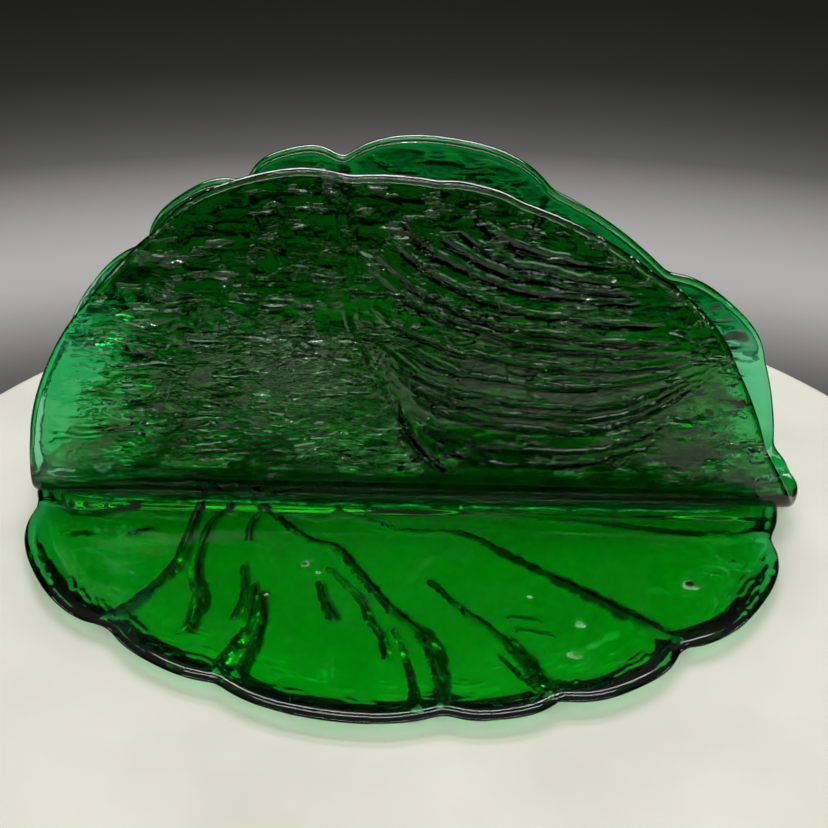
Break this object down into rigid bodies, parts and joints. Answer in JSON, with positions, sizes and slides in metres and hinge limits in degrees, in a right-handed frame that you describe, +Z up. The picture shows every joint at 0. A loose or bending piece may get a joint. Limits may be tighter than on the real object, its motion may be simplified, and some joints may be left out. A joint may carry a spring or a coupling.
{
  "type": "leaf-form glass holder",
  "caption": "Green glass holder: a round lobed leaf lies flat under a second leaf folded into two standing walls, leaving a narrow slot that holds stems, napkins or cards.",
  "frame": {"origin": "on the table, under the middle of the fold and the centre of the flat leaf", "axes": "+X along the fold, to the right seen from the front; -Y towards the front, where the veined wall stands; +Z up"},
  "size_m": [0.1715, 0.1522, 0.0804],
  "materials": {
    "green_glass_base": "clear emerald green, fire-polished, with pressed vein grooves",
    "green_glass_wall": "clear emerald green, fire-polished, with ribs and bark-like ripples in the front",
    "green_glass_seam": "clear emerald green, smooth fused bead"
  },
  "bodies": {
    "root": {"base_leaf": "green_glass_base", "folded_leaf": "green_glass_wall", "front_fuse_seam": "green_glass_seam", "rear_fuse_seam": "green_glass_seam"}
  },
  "joints": []
}
